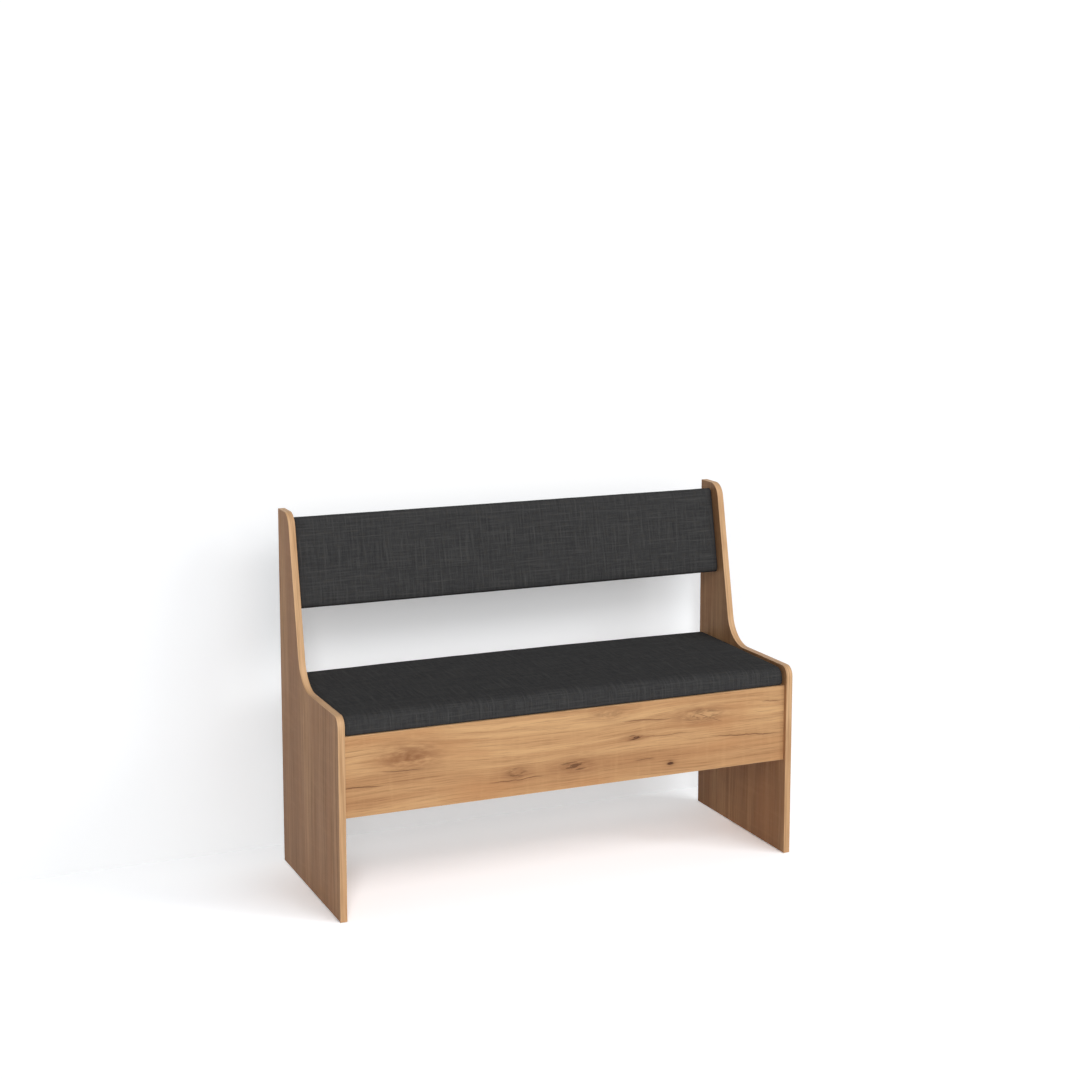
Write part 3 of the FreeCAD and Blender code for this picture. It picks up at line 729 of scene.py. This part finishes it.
def cam_places(cushion):
    """Where the cams in the cushion's own board are, as x and a."""
    flat = cushion.turn.inverted()
    spots = [flat @ vert.co for vert in NODES["cam_housings"].data.vertices]
    spots = [spot for spot in spots if cushion.a0 < spot.y < cushion.a1]
    spots = [spot for spot in spots if cushion.b0 < spot.z < cushion.b1]
    middle = (cushion.a0 + cushion.a1) / 2
    places = []
    for right in (False, True):
        for high in (False, True):
            own = [spot for spot in spots if (spot.x > 0) == right and (spot.y > middle) == high]
            if own:
                x = (min(spot.x for spot in own) + max(spot.x for spot in own)) / 2
                a = (min(spot.y for spot in own) + max(spot.y for spot in own)) / 2
                places.append((x, a))
    return places


def open_at_cams(piece, cushion, places):
    """Round openings in the cloth behind the board, so that its cams can be turned."""
    bm = bmesh.new()
    for x, a in places:
        place = Matrix.Translation((x, a, cushion.b0))
        bmesh.ops.create_cone(
            bm, cap_ends=True, segments=40, radius1=CAM_OPENING, radius2=CAM_OPENING,
            depth=2 * CAM_OPENING_DEPTH, matrix=place
        )
    mesh = bpy.data.meshes.new("openings")
    bm.to_mesh(mesh)
    bm.free()
    cutter = bpy.data.objects.new("openings", mesh)
    bpy.context.scene.collection.objects.link(cutter)
    cut = piece.modifiers.new("openings", "BOOLEAN")
    cut.operation = "DIFFERENCE"
    cut.object = cutter
    apply_all(piece)
    bpy.data.objects.remove(cutter)


def upholster(cushion, surface, node, body):
    """The cover of a cushion."""
    piece = cushion.build(surface, COVER_STEP, COVER_SLACK)
    puff(piece, cushion)
    settle(piece, cushion)
    refine(piece)
    places = cam_places(cushion)
    if places:
        open_at_cams(piece, cushion, places)
    piece.data.transform(cushion.turn)
    piece.data.update()
    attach(piece, body)
    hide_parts(node)
    return piece


def fill_with_foam(cushion, board_top, surface, name, node, body):
    """The foam under a cover: it lies on the board and stays inside the cover."""
    inset = FOAM_INSET
    rounds = cushion.rounds
    foam = copy(cushion)
    foam.name = name
    foam.half = cushion.half - inset
    foam.a0, foam.a1 = cushion.a0 + inset, cushion.a1 - inset
    foam.b0, foam.b1 = board_top, cushion.b1 - inset
    foam.rounds = Rounds(
        low_edge=rounds.low_edge - inset,
        high_edge=rounds.high_edge - inset,
        face_end=rounds.face_end - inset,
        side_end=rounds.side_end,
        under_end=0.0,
        underside=rounds.underside / 2,
    )
    piece = foam.build(surface, FOAM_STEP, 0.0)
    piece.data.transform(foam.turn)
    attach(piece, body)
    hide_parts(node)
    return piece


def seat_cushion():
    low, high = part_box("seat_cover")
    back, up = Vector((0, 1, 0)), Vector((0, 0, 1))
    size = (low.y, high.y, low.z, low.z + SEAT_THICK)
    return Cushion("seat_upholstery", high.x, size, SEAT_ROUNDS, SEAT_CROWN, back, up)


def backrest_cushion():
    up = Vector((0, math.sin(LEAN), math.cos(LEAN)))
    forward = Vector((0, -math.cos(LEAN), math.sin(LEAN)))
    corners = [vert.co for vert in NODES["backrest_cover"].data.vertices]
    a_low = min(spot.dot(up) for spot in corners)
    a_high = max(spot.dot(up) for spot in corners)
    b_low = min(spot.dot(forward) for spot in corners)
    half = max(spot.x for spot in corners)
    size = (a_low, a_high, b_low, b_low + BACK_THICK)
    return Cushion("backrest_upholstery", half, size, BACK_ROUNDS, BACK_CROWN, up, forward)


# Stage, light and camera

def stage_plane(name, surface):
    bm = bmesh.new()
    bmesh.ops.create_grid(bm, x_segments=1, y_segments=1, size=STAGE_SIZE / 2)
    mesh = bpy.data.meshes.new(name)
    bm.to_mesh(mesh)
    bm.free()
    mesh.materials.append(surface)
    plane = bpy.data.objects.new(name, mesh)
    bpy.context.scene.collection.objects.link(plane)
    return plane


def seen_ray(tree):
    """1 for what the camera, a reflection or a glass sees, and 0 for light on its way."""
    path = tree.nodes.new("ShaderNodeLightPath")
    seen = path.outputs["Is Camera Ray"]
    for ray in ("Is Glossy Ray", "Is Transmission Ray"):
        adding = tree.nodes.new("ShaderNodeMath")
        adding.operation = "ADD"
        adding.use_clamp = True
        tree.links.new(seen, adding.inputs[0])
        tree.links.new(path.outputs[ray], adding.inputs[1])
        seen = adding.outputs[0]
    return seen


def floor_shade(paint):
    """How strongly the floor shades: more toward the bench's front."""
    _, y, _ = paint.place()
    return paint.ease(y, FLOOR_REAR, FLOOR_FRONT, FLOOR_SHADE, FLOOR_FRONT_SHADE)


def wall_shade(paint):
    """How strongly the wall shades: less near the floor and hardly above the bench."""
    _, _, height = paint.place()
    low = paint.ease(height, 0.0, WALL_FOOT, WALL_FOOT_SHADE, WALL_SHADE)
    return paint.product(low, paint.ease(height, WALL_TOP_LOW, WALL_TOP_HIGH, 1.0, WALL_TOP_SHARE))


def paper(name, shade, light, one_sided):
    """White studio paper with a soft shadow: the more it shades, the less of its white is its own glow."""
    paint = Paint(name)
    tree = paint.tree
    tree.nodes.remove(paint.shader)
    end = tree.nodes["Material Output"]
    seen = seen_ray(tree)
    depth = shade(paint)
    matt = paint.add("BsdfDiffuse", {"Color": paint.mix(1.0, depth, PAPER_TINT, blend="MULTIPLY")})
    glow = paint.add("Emission", {"Strength": paint.math("MULTIPLY_ADD", depth, -light, PAPER_WHITE)})
    shown = paint.add("AddShader", {0: matt, 1: glow})
    if one_sided:
        back = paint.add("NewGeometry", out="Backfacing")
        seen = paint.product(seen, paint.math("SUBTRACT", 1.0, back))
        other = paint.add("BsdfTransparent")
    else:
        other = paint.add("BsdfDiffuse", {"Color": PLAIN_FLOOR})
    paint.feed(end.inputs["Surface"], paint.add("MixShader", {0: seen, 1: other, 2: shown}))
    return paint.material


def make_stage():
    stage_plane("floor", paper("floor_paper", floor_shade, FLOOR_LIGHT, False))
    wall = stage_plane("wall", paper("wall_paper", wall_shade, WALL_LIGHT, True))
    rear = cad_box[1].y + WALL_GAP
    upright = Matrix.Rotation(math.radians(90), 4, "X")
    wall.data.transform(Matrix.Translation((0, rear, STAGE_SIZE / 2)) @ upright)


def make_light():
    world = bpy.data.worlds.new("studio")
    bpy.context.scene.world = world
    world.use_nodes = True
    tree = world.node_tree
    background = tree.nodes["Background"]
    level = tree.nodes.new("ShaderNodeMapRange")
    level.inputs["To Min"].default_value = WORLD_STRENGTH
    level.inputs["To Max"].default_value = 1.0
    tree.links.new(seen_ray(tree), level.inputs["Value"])
    tree.links.new(level.outputs[0], background.inputs["Strength"])
    background.inputs["Color"].default_value = (1, 1, 1, 1)

    for number, lamp in enumerate(LAMPS, start=1):
        name = f"lamp_{number}"
        sun = bpy.data.lights.new(name, "SUN")
        sun.energy = lamp.strength
        sun.angle = math.radians(lamp.spread)
        holder = bpy.data.objects.new(name, sun)
        bpy.context.scene.collection.objects.link(holder)
        azimuth, elevation = math.radians(lamp.azimuth), math.radians(lamp.elevation)
        toward = Vector((
            math.sin(azimuth) * math.cos(elevation),
            -math.cos(azimuth) * math.cos(elevation),
            math.sin(elevation),
        ))
        holder.rotation_euler = toward.to_track_quat("Z", "Y").to_euler()
        holder.location = toward * 3


def make_camera():
    data = bpy.data.cameras.new("camera")
    data.sensor_width = FRAME_WIDTH
    data.lens = CAMERA_LENS
    data.shift_y = CAMERA_SHIFT
    data.clip_end = 200
    camera = bpy.data.objects.new("camera", data)
    bpy.context.scene.collection.objects.link(camera)
    camera.location = CAMERA_PLACE
    camera.rotation_euler = (math.radians(90 - CAMERA_PITCH), 0, -math.radians(CAMERA_YAW))
    bpy.context.scene.camera = camera


bpy.context.scene.view_settings.view_transform = "Standard"
make_camera()
make_light()
make_stage()
surfaces = dress_nodes()
for cushion, part, body in (
    (seat_cushion(), "seat", "seat_lid"),
    (backrest_cushion(), "backrest", "bench_frame"),
):
    board_top = cushion.b0 + MARGIN_THICK + BOARD_THICK
    fill_with_foam(cushion, board_top, surfaces["foam"], part + "_foam_block", part + "_foam", body)
    upholster(cushion, surfaces["cover_fabric"], part + "_cover", body)
